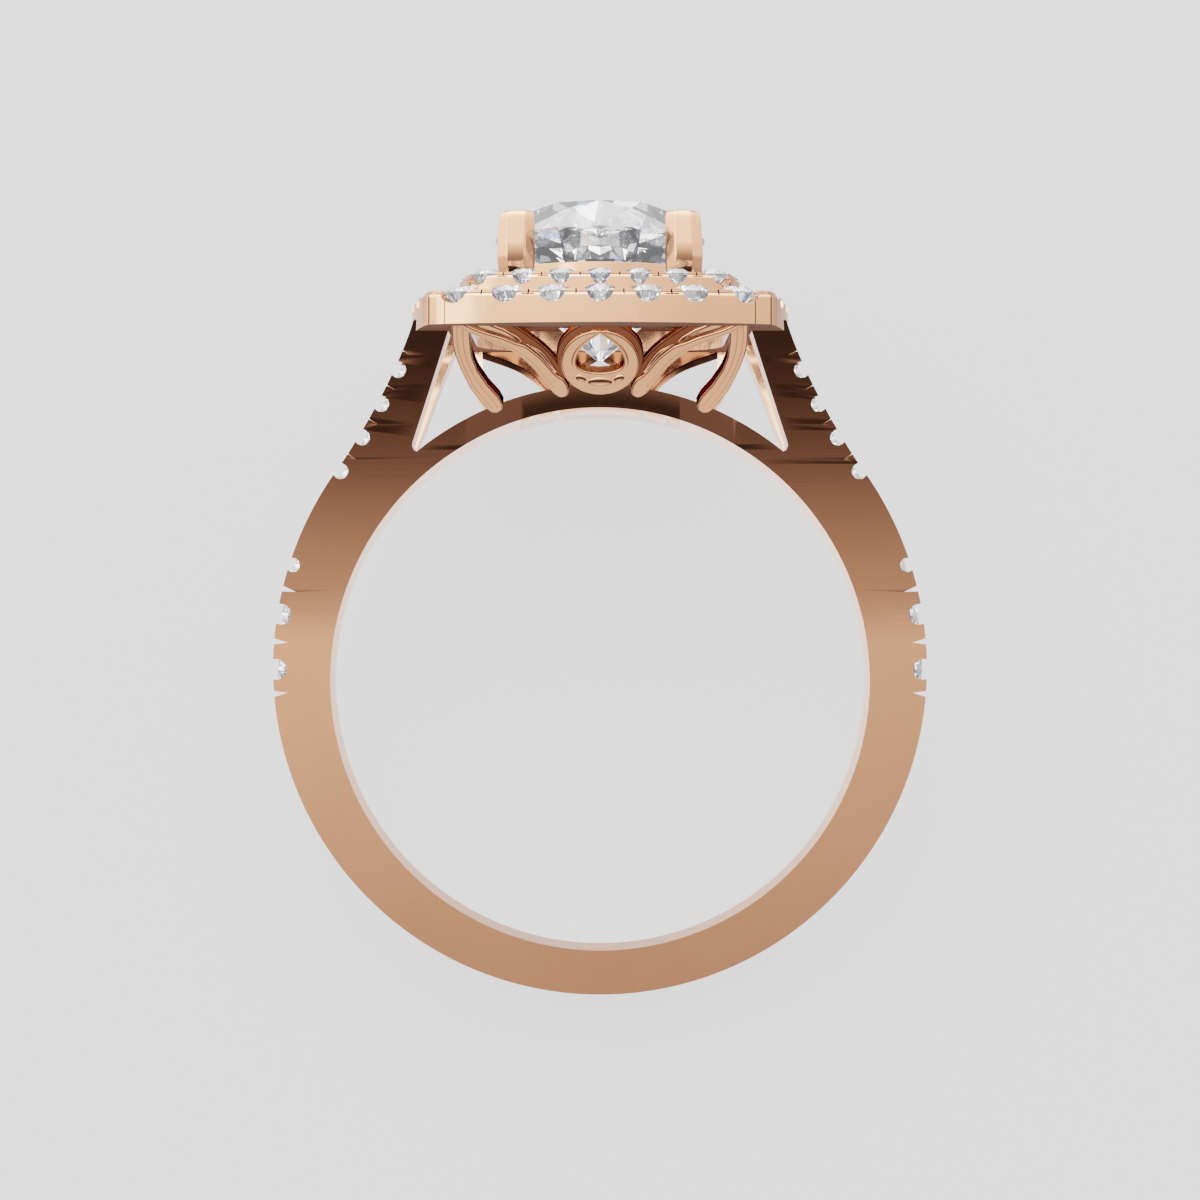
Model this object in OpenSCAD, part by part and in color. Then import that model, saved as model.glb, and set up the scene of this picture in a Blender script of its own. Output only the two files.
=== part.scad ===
// Diamond engagement ring with a two-tier cushion halo and a split shank.
// Drawn with the finger axis along Z and the head towards +Y, then laid down as it rests.

/* [Band] */
// Diameter of the finger hole
bore_d = 16.5; // [16.2:0.1:16.8]
// Thickness of the band at the sides
side_t = 1.75; // [1.7:0.05:1.85]
// How far the outer circle sits above the finger hole
rise = 0.4; // [0.35:0.05:0.45]
// Width of the band at the bottom
band_w = 1.9; // [1.8:0.1:2]
// Width of the shank where it meets the halo
top_w = 6.26; // [6.1:0.02:6.4]
// Thickness of the arch under the head
arch_t = 0.66; // [0.6:0.02:0.7]
// Width of the arch at its middle
arch_w = 5.16; // [5.1:0.02:5.2]

/* [Head] */
// Height of the lower halo above the finger hole
halo_lift = 2.25; // [2.2:0.05:2.3]
// Width of the lower halo
lower_w = 11.54; // [11.46:0.02:11.6]
// Thickness of the lower halo
lower_t = 1; // [0.95:0.05:1.05]
// Width of the upper halo
upper_w = 8.74; // [8.7:0.02:8.8]
// Height of the upper halo above the lower one
upper_t = 0.65; // [0.63:0.02:0.69]
// Thickness of a prong
prong_d = 1.1; // [1:0.05:1.15]
// Height of the prong tips above the lower halo
prong_h = 2.65; // [2.6:0.05:2.7]
// Radius of the bowed sides of the lower halo
lower_bow = 17.5; // [17:0.5:18]
// Radius of the bowed sides of the upper halo
upper_bow = 15; // [14.5:0.5:15.5]
// Radius of the corners of the lower halo
lower_corner = 0.9; // [0.8:0.1:1]
// Radius of the corners of the upper halo
upper_corner = 0.4; // [0.3:0.1:0.5]

/* [Gallery] */
// Thickness of the scroll work
scroll_t = 0.6; // [0.55:0.05:0.65]
// Lean of the scroll work, outwards from upright
scroll_lean = 40.4; // [39:0.2:42]

/* [Stones] */
// Diameter of the centre stone
centre_d = 6.46; // [6.4:0.02:6.5]
// Diameter of a stone in the lower halo
lower_stone_d = 1.2; // [1.15:0.05:1.25]
// Diameter of a stone in the upper halo
upper_stone_d = 0.95; // [0.9:0.05:1]
// Diameter of a stone on the split shoulders
shoulder_stone_d = 1; // [0.95:0.05:1.05]
// Diameter of a stone on the sides of the band
band_stone_d = 1.4; // [1.35:0.05:1.45]
// Gap between a stone and its seat
seat_gap = 0.03; // [0.02:0.01:0.05]

/* [Hidden] */
$fn = 48;
bore_r = bore_d / 2;
band_r = bore_r + side_t;
arch_r = bore_r + arch_t;
halo_y = bore_r + halo_lift;
lower_top = halo_y + lower_t;
upper_top = lower_top + upper_t;
prong_top = lower_top + prong_h;
girdle_y = lower_top + 2.07;
prong_r = centre_d / 2 + 0.31;
rest_tilt = atan((lower_w - band_w) / 2 / (halo_y + band_r - rise));

// Shoulder outline on the right, from the band up to the halo
sh_a = [8.11, bore_r - 2.01];
sh_b = [7.45, bore_r - 1.13];
sh_c = [6.1, bore_r + 0.95];
sh_d = [lower_w / 2 - 0.24, halo_y + 0.35];
sh_steps = 12;
shoulder_seats = [0.07, 0.33, 0.535, 0.725];
shoulder_splits = [0.2, 0.435, 0.63, 0.82];

// How deep the girdles of these stones lie, so that the tables are a little under the metal
shoulder_sink = 0.31;
band_sink = 0.32;

// Angles around the band of its stones and of the notches under them
band_seats = [18.5, 9.5, -0.3];
band_notches = [14, 4.6, -4.6];
band_scallops = [0.22, 0.32, 0.32];

// Half the gap between the two strands of the shank, at each height. The arch has no gap.
split_gap = [[6.4, 0], [7.06, 0.3], [8, 0.72], [8.6, 0.95], [10.5, 1.65], [13, 2.5]];

// Height over the finger axis where the shank starts to widen
flare_y = 1.2;
// How the arch leans forward, and the radius of its front seen from above
arch_lean = atan(0.27);
arch_bow = 21.9;

// Places of the stones along the rows, from the middle of a side
lower_front = [-2.67, -1.335, 0, 1.335, 2.67];
lower_side = [-3.45, -2.08, -0.7, 0.7, 2.08, 3.45];
upper_front = [-2.23, -1.13, 0, 1.13, 2.23];
upper_side = [-2.31, -1.16, 0, 1.16, 2.31];

function half_depth(y) = band_w / 2 +
  (top_w - band_w) / 2 * pow(max(0, min(y, halo_y + 0.4) - flare_y) / (halo_y - flare_y), 2);
function half_gap(y) = lookup(y, split_gap);
function curve(a, b, c, d, t) =
  let (s = 1 - t) a * s * s * s + b * 3 * s * s * t + c * 3 * s * t * t + d * t * t * t;
function slope(a, b, c, d, t) =
  let (s = 1 - t, v = (b - a) * s * s + (c - b) * 2 * s * t + (d - c) * t * t) v / norm(v);
function side_point(a, b, c, d, t, off) =
  let (v = slope(a, b, c, d, t)) curve(a, b, c, d, t) + off * [-v[1], v[0]];
function ribbon(a, b, c, d, w0, w1, n) = concat(
  [for (i = [0 : n]) side_point(a, b, c, d, i / n, (w0 + (w1 - w0) * i / n) / 2)],
  [for (i = [n : -1 : 0]) side_point(a, b, c, d, i / n, -(w0 + (w1 - w0) * i / n) / 2)]);
function ring_of(n, r, z, turn) =
  [for (i = [0 : n - 1]) [r * cos(turn + 360 * i / n), r * sin(turn + 360 * i / n), z]];

// Corner centre of a cushion with bowed sides, then its outline
function corner_at(half, bow, corner) =
  let (m = bow - half) (sqrt(2 * pow(bow - corner, 2) - m * m) - m) / 2;
function quarter(half, bow, corner) =
  let (m = bow - half, c = corner_at(half, bow, corner), a = atan2(c, c + m))
  concat([for (i = [0 : 8]) let (t = a * (i / 4 - 1)) [bow * sin(t), bow * cos(t) - m]],
    [for (i = [1 : 3]) let (t = a + (90 - 2 * a) * i / 4) [c + corner * sin(t), c + corner * cos(t)]]);

module lying() {
  rotate([rest_tilt, 0, 0]) children();
}

// Stones. Each has its girdle at Z 0 and its table towards +Z.
module small_stone(d) {
  r = d / 2;
  rim = 0.02 * d;
  points = concat(ring_of(8, 0.56 * r, rim + 0.14 * d, 0), ring_of(8, r, rim, 22.5),
    ring_of(8, r, -rim, 22.5), [[0, 0, -rim - 0.43 * d]]);
  faces = concat([[for (i = [7 : -1 : 0]) i]],
    [for (i = [0 : 7]) [8 + i, i, (i + 1) % 8]],
    [for (i = [0 : 7]) [8 + i, (i + 1) % 8, 8 + (i + 1) % 8]],
    [for (i = [0 : 7]) [16 + i, 8 + i, 8 + (i + 1) % 8, 16 + (i + 1) % 8]],
    [for (i = [0 : 7]) [24, 16 + i, 16 + (i + 1) % 8]]);
  polyhedron(points, faces);
}

module large_stone(d) {
  r = d / 2;
  rim = 0.06;
  crown = 0.97;
  table_r = 0.57 * r;
  break_r = 0.77 * r;
  break_z = rim + (r - break_r * cos(22.5)) * crown / (r - table_r);
  points = concat(ring_of(8, table_r, rim + crown, 0), ring_of(8, break_r, break_z, 22.5),
    ring_of(16, r, rim, 0), ring_of(16, r, -rim, 0), ring_of(16, 0.805 * r, -1.57, 0),
    [[0, 0, -3.79]]);
  faces = concat([[for (i = [7 : -1 : 0]) i]],
    [for (i = [0 : 7]) [8 + i, i, (i + 1) % 8]],
    [for (i = [0 : 7]) [16 + 2 * i, 8 + (i + 7) % 8, i]],
    [for (i = [0 : 7]) [16 + 2 * i, i, 8 + i]],
    [for (i = [0 : 7]) [16 + 2 * i, 8 + i, 17 + 2 * i]],
    [for (i = [0 : 7]) [17 + 2 * i, 8 + i, 16 + (2 * i + 2) % 16]],
    [for (i = [0 : 15]) [32 + i, 16 + i, 16 + (i + 1) % 16, 32 + (i + 1) % 16]],
    [for (i = [0 : 15]) [48 + i, 32 + i, 32 + (i + 1) % 16, 48 + (i + 1) % 16]],
    [for (i = [0 : 15]) [64, 48 + i, 48 + (i + 1) % 16]]);
  polyhedron(points, faces);
}

// What is cut from the metal for a small stone
module seat(d) {
  r = d / 2 + seat_gap;
  rotate_extrude()
    polygon([[0, -0.45 * d - 0.05], [0.06, -0.45 * d - 0.05], [r, -0.02 * d - 0.02],
      [r, 0.5], [0, 0.5]]);
}

module centre_seat() {
  r = centre_d / 2 + seat_gap;
  rotate_extrude($fn = 96)
    polygon([[0, -4], [0.805 * r, -1.6], [r, -0.1], [r, 0.1],
      [0.57 * r, 0.1 + 0.97], [0, 0.1 + 0.97]]);
}

// Places of the stones
module on_row(half, bow, inset, y, front, corner, turn, side) {
  r = bow - inset;
  m = bow - half;
  for (q = [0, 180]) {
    for (s = front)
      rotate([0, q, 0]) row_spot(r, m, y, s, s / r * 180 / PI) children();
    for (s = [-corner, corner])
      rotate([0, q, 0]) row_spot(r, m, y, s, sign(s) * turn) children();
    for (s = side)
      rotate([0, q + 90, 0]) row_spot(r, m, y, s, s / r * 180 / PI) children();
  }
}

module row_spot(r, m, y, s, turn) {
  a = s / r * 180 / PI;
  translate([r * sin(a), y, r * cos(a) - m]) rotate([0, turn, 0]) children();
}

module on_lower_halo() {
  on_row(lower_w / 2, lower_bow, 0.75, lower_top - 0.06, lower_front, 4.005, 26, lower_side)
    children();
}

module on_upper_halo() {
  on_row(upper_w / 2, upper_bow, 0.51, upper_top - 0.05, upper_front, 3.35, 36, upper_side)
    children();
}

module on_outline(t, depth) {
  p = curve(sh_a, sh_b, sh_c, sh_d, t);
  v = slope(sh_a, sh_b, sh_c, sh_d, t);
  for (side = [0, 1])
    mirror([side, 0, 0])
      translate([p[0] - depth * v[1], p[1] + depth * v[0], 0])
      rotate([0, 0, atan2(-v[0], v[1])])
      children();
}

module on_shoulders() {
  for (t = shoulder_seats) {
    y = curve(sh_a, sh_b, sh_c, sh_d, t)[1];
    z = (half_depth(y) + half_gap(y)) / 2;
    on_outline(t, shoulder_sink) {
      translate([0, 0, z]) rotate([0, 90, 0]) children();
      translate([0, 0, -z]) rotate([0, 90, 0]) children();
    }
  }
}

module on_band(a, depth) {
  for (side = [0, 1])
    mirror([side, 0, 0])
      translate([0, rise, 0])
      rotate([0, 0, a])
      translate([band_r - depth, 0, 0])
      children();
}

// Shank
module shoulder_outline() {
  polygon(concat([for (i = [0 : sh_steps]) curve(sh_a, sh_b, sh_c, sh_d, i / sh_steps)],
    [[4.42, halo_y + 0.35], [4.51, halo_y + 0.05], [5.66, bore_r - 0.97], [5.69, bore_r - 1.11],
      [5.64, bore_r - 1.24], [5.55, bore_r - 1.28], [5.42, bore_r - 1.22], [5.2, bore_r - 2.05]]));
}

module front_outline() {
  difference() {
    union() {
      intersection() {
        translate([0, rise]) circle(band_r, $fn = 180);
        translate([-12, -12]) square([24, 12 + sh_a[1]]);
      }
      circle(arch_r, $fn = 180);
      shoulder_outline();
      mirror([1, 0]) shoulder_outline();
    }
    circle(bore_r, $fn = 180);
  }
}

module depth_outline() {
  heights = concat([-11, flare_y],
    [for (i = [1 : 12]) flare_y + (halo_y + 0.4 - flare_y) * i / 12], [12]);
  polygon(concat([for (y = heights) [half_depth(y), y]],
    [for (i = [len(heights) - 1 : -1 : 0]) [-half_depth(heights[i]), heights[i]]]));
}

module gap_outline() {
  polygon(concat([for (p = split_gap) [p[1], p[0]]],
    [for (i = [len(split_gap) - 1 : -1 : 1]) [-split_gap[i][1], split_gap[i][0]]]));
}

// The arch under the head, with its front and back leaning outwards
module arch() {
  intersection() {
    linear_extrude(8, center = true)
      difference() {
        circle(arch_r, $fn = 180);
        circle(bore_r, $fn = 180);
      }
    translate([-6, 6.2, -4]) cube([12, 4, 8]);
    arch_side();
    mirror([0, 0, 1]) arch_side();
  }
}

module arch_side() {
  translate([0, bore_r, arch_w / 2])
    rotate([arch_lean, 0, 0])
    rotate([90, 0, 0])
    translate([0, -arch_bow, 0])
    cylinder(r = arch_bow, h = 16, center = true, $fn = 180);
}

module shank() {
  difference() {
    intersection() {
      linear_extrude(8, center = true) front_outline();
      rotate([0, 90, 0]) linear_extrude(24, center = true) depth_outline();
    }
    difference() {
      rotate([0, 90, 0]) linear_extrude(26, center = true) gap_outline();
      cylinder(r = arch_r, h = 10, center = true, $fn = 180);
    }
  }
  arch();
}

module shank_cuts() {
  for (i = [0 : 2]) {
    on_band(band_seats[i], 0.1) cylinder(r = band_scallops[i], h = 4, center = true);
    on_band(band_notches[i], 0.42)
      linear_extrude(4, center = true) polygon([[0, 0], [0.6, -0.13], [0.6, 0.13]]);
    on_band(band_seats[i], band_sink) rotate([0, 90, 0]) seat(band_stone_d);
  }
  for (t = shoulder_seats)
    on_outline(t, 0.1) cylinder(r = 0.24, h = 8, center = true);
  for (t = shoulder_splits)
    on_outline(t, 0.28)
      linear_extrude(8, center = true) polygon([[0, 0], [0.6, -0.06], [0.6, 0.06]]);
  on_shoulders() seat(shoulder_stone_d);
}

// Head
module cushion_outline(half, bow, corner) {
  q = quarter(half, bow, corner);
  polygon(concat(q, [for (p = q) [p[1], -p[0]]], [for (p = q) -p], [for (p = q) [-p[1], p[0]]]));
}

module cushion_block(half, bow, corner, h, bevel) {
  linear_extrude(h - bevel) cushion_outline(half, bow, corner);
  translate([0, 0, h - bevel])
    linear_extrude(bevel, scale = (half - bevel) / half) cushion_outline(half, bow, corner);
}

module rounded_square(half, corner) {
  flat = half - corner;
  square([2 * half, 2 * flat], center = true);
  square([2 * flat, 2 * half], center = true);
  for (x = [-flat, flat], y = [-flat, flat])
    translate([x, y]) circle(corner);
}

module halos() {
  translate([0, halo_y, 0])
    rotate([-90, 0, 0])
    difference() {
      cushion_block(lower_w / 2, lower_bow, lower_corner, lower_t, 0.13);
      translate([0, 0, -1]) linear_extrude(3) rounded_square(3.9, 2);
    }
  translate([0, lower_top - 0.35, 0])
    rotate([-90, 0, 0])
    difference() {
      cushion_block(upper_w / 2, upper_bow, upper_corner, upper_t + 0.35, 0.1);
      translate([0, 0, -1]) cylinder(r = 3, h = 3, $fn = 96);
    }
}

module rail() {
  rotate([-90, 0, 0])
    rotate_extrude($fn = 96)
    polygon([[2.75, lower_top - 0.25], [3.25, lower_top - 0.25], [3.25, upper_top + 0.05],
      [3.12, girdle_y - 1], [2.88, girdle_y - 1], [2.75, girdle_y - 1.5]]);
}

module prongs() {
  for (turn = [45 : 90 : 315])
    rotate([0, turn, 0])
      translate([0, 0, prong_r]) {
        translate([0, lower_top - 0.25, 0])
          rotate([-90, 0, 0])
          cylinder(d = prong_d, h = prong_h + 0.25 - prong_d / 2);
        translate([0, prong_top - prong_d / 2, 0]) sphere(d = prong_d);
      }
}

module halo_cuts() {
  on_lower_halo() {
    rotate([-90, 0, 0]) seat(lower_stone_d);
    translate([0, 0.055, 0]) cylinder(r = 0.395, h = 1.4);
  }
  on_upper_halo() {
    rotate([-90, 0, 0]) seat(upper_stone_d);
    translate([0, -0.04, 0]) cylinder(r = 0.29, h = 0.9);
    translate([-0.29, -0.04, 0]) cube([0.58, 0.6, 0.9]);
  }
}

// Scroll work. Y 0 is the foot on the arch, and top is inside the halo.
module scroll_side(top) {
  polygon(ribbon([4.07, top], [4.12, 1.5], [3.95, 0.45], [3.02, -0.5], 0.58, 0.62, 8));
  polygon(ribbon([4.4, top], [2.7, 2.35], [1.65, 1.5], [1.17, -0.1], 0.9, 0.44, 8));
}

module scroll_loop() {
  difference() {
    translate([0, 1.33]) circle(1.3);
    intersection() {
      union() {
        translate([0, 1.2]) circle(0.72);
        polygon([[-0.64, 1.53], [0.64, 1.53], [0, 2.22]]);
      }
      translate([-2, 0.85]) square([4, 2]);
    }
  }
}

module gallery() {
  foot = bore_r + 0.3;
  top = (halo_y + 0.35 - foot) / cos(scroll_lean);
  for (back = [0, 1])
    mirror([0, 0, back])
      translate([0, foot, 3])
      rotate([scroll_lean, 0, 0])
      translate([0, 0, -scroll_t])
      linear_extrude(scroll_t) {
        scroll_side(top);
        mirror([1, 0]) scroll_side(top);
        scroll_loop();
      }
}

module cast_mount() {
  color("rosybrown")
    lying()
    difference() {
      union() {
        shank();
        halos();
        rail();
        prongs();
        gallery();
      }
      cylinder(r = bore_r, h = 12, center = true, $fn = 180);
      shank_cuts();
      halo_cuts();
      translate([0, girdle_y, 0]) rotate([-90, 0, 0]) centre_seat();
    }
}

module centre_stone() {
  color("azure")
    lying()
    translate([0, girdle_y, 0])
    rotate([-90, 0, 0])
    large_stone(centre_d);
}

module lower_halo_stones() {
  color("lightcyan")
    lying()
    on_lower_halo() rotate([-90, 0, 0]) small_stone(lower_stone_d);
}

module upper_halo_stones() {
  color("aliceblue")
    lying()
    on_upper_halo() rotate([-90, 0, 0]) small_stone(upper_stone_d);
}

module shoulder_stones() {
  color("lightblue")
    lying()
    on_shoulders() small_stone(shoulder_stone_d);
}

module band_stones() {
  color("powderblue")
    lying()
    for (a = band_seats)
      on_band(a, band_sink) rotate([0, 90, 0]) small_stone(band_stone_d);
}

cast_mount();
centre_stone();
lower_halo_stones();
upper_halo_stones();
shoulder_stones();
band_stones();
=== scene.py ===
from math import asin, atan, atan2, cos, pi, radians, sin, sqrt, tan

import bmesh
import bpy
from mathutils import Matrix, Vector


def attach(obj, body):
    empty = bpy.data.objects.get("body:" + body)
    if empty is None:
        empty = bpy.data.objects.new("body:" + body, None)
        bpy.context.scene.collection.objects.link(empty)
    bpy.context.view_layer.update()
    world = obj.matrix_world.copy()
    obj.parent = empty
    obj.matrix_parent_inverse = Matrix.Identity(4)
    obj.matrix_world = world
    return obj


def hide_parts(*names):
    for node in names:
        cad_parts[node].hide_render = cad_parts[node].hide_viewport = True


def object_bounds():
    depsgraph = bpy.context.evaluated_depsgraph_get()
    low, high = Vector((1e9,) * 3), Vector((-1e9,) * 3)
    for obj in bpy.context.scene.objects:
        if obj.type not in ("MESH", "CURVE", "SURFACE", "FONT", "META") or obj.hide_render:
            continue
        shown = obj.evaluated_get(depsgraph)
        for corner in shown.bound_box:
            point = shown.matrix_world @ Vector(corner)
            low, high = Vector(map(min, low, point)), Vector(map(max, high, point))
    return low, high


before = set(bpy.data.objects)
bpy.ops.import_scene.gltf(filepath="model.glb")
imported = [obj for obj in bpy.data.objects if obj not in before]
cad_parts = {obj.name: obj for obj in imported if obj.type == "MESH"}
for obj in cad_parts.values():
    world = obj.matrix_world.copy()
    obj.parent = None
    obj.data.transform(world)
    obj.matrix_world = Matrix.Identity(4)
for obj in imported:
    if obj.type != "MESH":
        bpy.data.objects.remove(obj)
solid_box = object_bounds()

# The ring is drawn upright in millimetres, with the finger axis along Z and the
# head towards +Y, and laid down in metres at the end.
BORE = 8.25
BAND_R = 10.0
RISE = 0.4
ARCH_R = 8.91
BAND_W = 1.9
ARCH_FRONT = 2.58
ARCH_SLOPE = 0.3
ARCH_BOW = 21.9
HALO_Y = 10.5
LOWER_TOP = 11.5
UPPER_TOP = 12.15
# Each halo is a cushion: half width, radius of its bowed sides, radius of its corners
LOWER = (5.77, 17.5, 0.9)
UPPER = (4.37, 15.0, 0.4)
GIRDLE_Y = 13.57
PRONG_TOP = 14.15
PRONG_HALF_W = 0.55
HALO_HOLE = 3.9
SEAT_HOLE_R = 3.0
STONE_D = 6.46
LOWER_STONE = 1.2
UPPER_STONE = 0.95
SHOULDER_STONE = 1.0
BAND_STONE = 1.4
SEAT_GAP = 0.03
SHOULDER_SINK = 0.31
BAND_SINK = 0.32
TILT = atan((LOWER[0] - BAND_W / 2) / (HALO_Y + BAND_R - RISE))
SHOULDER = [Vector((8.11, 6.24)), Vector((7.45, 7.12)), Vector((6.1, 9.2)), Vector((5.53, 10.85))]
SHOULDER_SEATS = (0.07, 0.33, 0.535, 0.725)
SHOULDER_SPLITS = (0.2, 0.435, 0.63, 0.82)
BAND_SEATS = (18.5, 9.5, -0.3)
BAND_NOTCHES = (14.0, 4.6, -4.6)
BAND_SCALLOPS = (0.22, 0.32, 0.32)
SPLIT_GAP = ((6.4, 0.0), (7.06, 0.3), (8.0, 0.72), (8.6, 0.95), (10.5, 1.65), (13.0, 2.5))


# ---- working by hand in edit mode

def only(*objs):
    bpy.ops.object.select_all(action="DESELECT")
    for o in objs:
        o.select_set(True)
    bpy.context.view_layer.objects.active = objs[0]


def edit(o):
    only(o)
    bpy.ops.object.mode_set(mode="EDIT")


def leave():
    bpy.ops.object.mode_set(mode="OBJECT")


def pick(kind, test):
    """Selects the vertices, edges or faces that pass a test, in edit mode."""
    bpy.ops.mesh.select_mode(type=kind)
    bpy.ops.mesh.select_all(action="DESELECT")
    mesh = bpy.context.object.data
    bm = bmesh.from_edit_mesh(mesh)
    for e in {"VERT": bm.verts, "EDGE": bm.edges, "FACE": bm.faces}[kind]:
        if test(e):
            e.select_set(True)
    bm.select_flush_mode()
    bmesh.update_edit_mesh(mesh)


def apply_modifier(o, m):
    only(o)
    bpy.ops.object.modifier_apply(modifier=m.name)


def boolean(o, tool, operation="DIFFERENCE"):
    m = o.modifiers.new("boolean", "BOOLEAN")
    m.operation = operation
    m.solver = "EXACT"
    m.object = tool
    apply_modifier(o, m)
    bpy.data.objects.remove(tool)
    return o


def duplicate(o, name, place=Matrix.Identity(4)):
    only(o)
    bpy.ops.object.duplicate(linked=False)
    copy = bpy.context.object
    copy.name = name
    copy.matrix_world = place @ o.matrix_world
    bpy.ops.object.transform_apply(location=True, rotation=True, scale=True)
    return copy


def darken(o, test, painted_shade_material=None):
    """Paints shade on the faces that pass a test: gives them a dark copy of the alloy, by default the painted shade of
    recesses.
    """
    painted_shade_material = painted_shade_material or painted_shade_gold
    if not o.data.materials:
        o.data.materials.append(rose_gold)
    if painted_shade_material.name not in o.data.materials:
        o.data.materials.append(painted_shade_material)
    edit(o)
    pick("FACE", test)
    o.active_material_index = o.data.materials.find(painted_shade_material.name)
    bpy.ops.object.material_slot_assign()
    leave()


def join(name, objs):
    only(*objs)
    if len(objs) > 1:
        bpy.ops.object.join()
    o = bpy.context.object
    o.name = name
    return o


def copies(tool, name, places):
    """One copy of a tool or a stone at each place, joined in one object."""
    made = [duplicate(tool, name, p) for p in places]
    bpy.data.objects.remove(tool)
    return join(name, made)


def traced(name, points, depth, z=0.0):
    """An outline drawn vertex by vertex, filled and extruded along Z from its middle."""
    bpy.ops.object.select_all(action="DESELECT")
    bpy.ops.mesh.primitive_plane_add(size=0.1)
    o = bpy.context.object
    o.name = name
    bpy.ops.object.mode_set(mode="EDIT")
    bpy.ops.mesh.select_mode(type="VERT")
    bpy.ops.mesh.select_all(action="SELECT")
    bpy.ops.mesh.merge(type="CENTER")
    pts = [Vector((p[0], p[1], z - depth / 2)) for p in points]
    bpy.ops.transform.translate(value=pts[0])
    for a, b in zip(pts, pts[1:]):
        bpy.ops.mesh.extrude_region_move(TRANSFORM_OT_translate={"value": b - a})
    bpy.ops.mesh.select_all(action="SELECT")
    bpy.ops.mesh.edge_face_add()
    bpy.ops.mesh.extrude_region_move(TRANSFORM_OT_translate={"value": (0, 0, depth)})
    bpy.ops.mesh.select_all(action="SELECT")
    bpy.ops.mesh.normals_make_consistent(inside=False)
    leave()
    return o


def disc(name, r, depth, vertices, at=(0, 0, 0)):
    bpy.ops.object.select_all(action="DESELECT")
    bpy.ops.mesh.primitive_cylinder_add(vertices=vertices, radius=r, depth=depth, location=at)
    o = bpy.context.object
    o.name = name
    bpy.ops.object.transform_apply(location=True, rotation=True, scale=True)
    return o


def turned(name, profile, steps):
    """A profile of (radius, height) points spun round the Y axis into a closed ring or plug."""
    bpy.ops.object.select_all(action="DESELECT")
    bpy.ops.mesh.primitive_plane_add(size=0.1)
    o = bpy.context.object
    o.name = name
    bpy.ops.object.mode_set(mode="EDIT")
    bpy.ops.mesh.select_mode(type="VERT")
    bpy.ops.mesh.select_all(action="SELECT")
    bpy.ops.mesh.merge(type="CENTER")
    pts = [Vector((p[0], p[1], 0)) for p in profile]
    bpy.ops.transform.translate(value=pts[0])
    for a, b in zip(pts, pts[1:]):
        bpy.ops.mesh.extrude_region_move(TRANSFORM_OT_translate={"value": b - a})
    if profile[0][0] > 0:
        bpy.ops.mesh.select_all(action="SELECT")
        bpy.ops.mesh.edge_face_add()
        bpy.ops.mesh.delete(type="ONLY_FACE")
    bpy.ops.mesh.select_all(action="SELECT")
    bpy.ops.mesh.spin(steps=steps, angle=2 * pi, center=(0, 0, 0), axis=(0, 1, 0))
    bpy.ops.mesh.select_all(action="SELECT")
    bpy.ops.mesh.remove_doubles(threshold=0.002)
    bpy.ops.mesh.normals_make_consistent(inside=False)
    leave()
    return o


def soften(o, width, angle=30):
    m = o.modifiers.new("edges", "BEVEL")
    m.width = width
    m.segments = 2
    m.limit_method = "ANGLE"
    m.angle_limit = radians(angle)
    m.use_clamp_overlap = True
    m.miter_outer = "MITER_ARC"
    apply_modifier(o, m)


def tidy(o, threshold=0.001):
    edit(o)
    bpy.ops.mesh.select_all(action="SELECT")
    bpy.ops.mesh.remove_doubles(threshold=threshold)
    bpy.ops.mesh.dissolve_degenerate(threshold=threshold)
    leave()


def polish(o, angle=35, weighted=True):
    only(o)
    bpy.ops.object.shade_smooth_by_angle(angle=radians(angle))
    if not weighted:
        return
    m = o.modifiers.new("normals", "WEIGHTED_NORMAL")
    m.keep_sharp = True
    m.weight = 50
    apply_modifier(o, m)


def lay_down(o):
    """From the upright drawing in millimetres to the ring's place at rest, in metres."""
    only(o)
    o.rotation_euler = (TILT, 0, 0)
    o.scale = (0.001, 0.001, 0.001)
    bpy.ops.object.transform_apply(location=True, rotation=True, scale=True)


def finish_piece(o, material, slot, nodes=()):
    lay_down(o)
    if not o.data.materials:
        o.data.materials.append(material)
    if nodes:
        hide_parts(*nodes)
    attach(o, "root")
    if slot == "gold":
        # The metal and the stones mirror the studio alone
        o.visible_glossy = False
        o.visible_transmission = False
    return o


# ---- shapes

def half_depth(y):
    return BAND_W / 2 + 0.0252 * max(0.0, min(y, 10.9) - 1.2) ** 2


def half_gap(y):
    if y <= SPLIT_GAP[0][0]:
        return 0.0
    for (a, g), (b, h) in zip(SPLIT_GAP, SPLIT_GAP[1:]):
        if y <= b:
            return g + (h - g) * (y - a) / (b - a)
    return SPLIT_GAP[-1][1]


def bezier(p, t):
    s = 1 - t
    return p[0] * s**3 + p[1] * 3 * s * s * t + p[2] * 3 * s * t * t + p[3] * t**3


def bezier_slope(p, t):
    s = 1 - t
    return ((p[1] - p[0]) * s * s + (p[2] - p[1]) * 2 * s * t + (p[3] - p[2]) * t * t).normalized()


def outline_place(t, depth, side):
    """A place on the shoulder's outline, X outwards from it, sunk by depth."""
    p, v = bezier(SHOULDER, t), bezier_slope(SHOULDER, t)
    at = Matrix.Translation((p.x - depth * v.y, p.y + depth * v.x, 0))
    m = at @ Matrix.Rotation(atan2(-v.x, v.y), 4, "Z")
    return m if side > 0 else Matrix.Rotation(pi, 4, "Y") @ m


def band_place(a, depth, side):
    m = (Matrix.Translation((0, RISE, 0)) @ Matrix.Rotation(radians(a), 4, "Z")
         @ Matrix.Translation((BAND_R - depth, 0, 0)))
    return m if side > 0 else Matrix.Rotation(pi, 4, "Y") @ m


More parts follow.
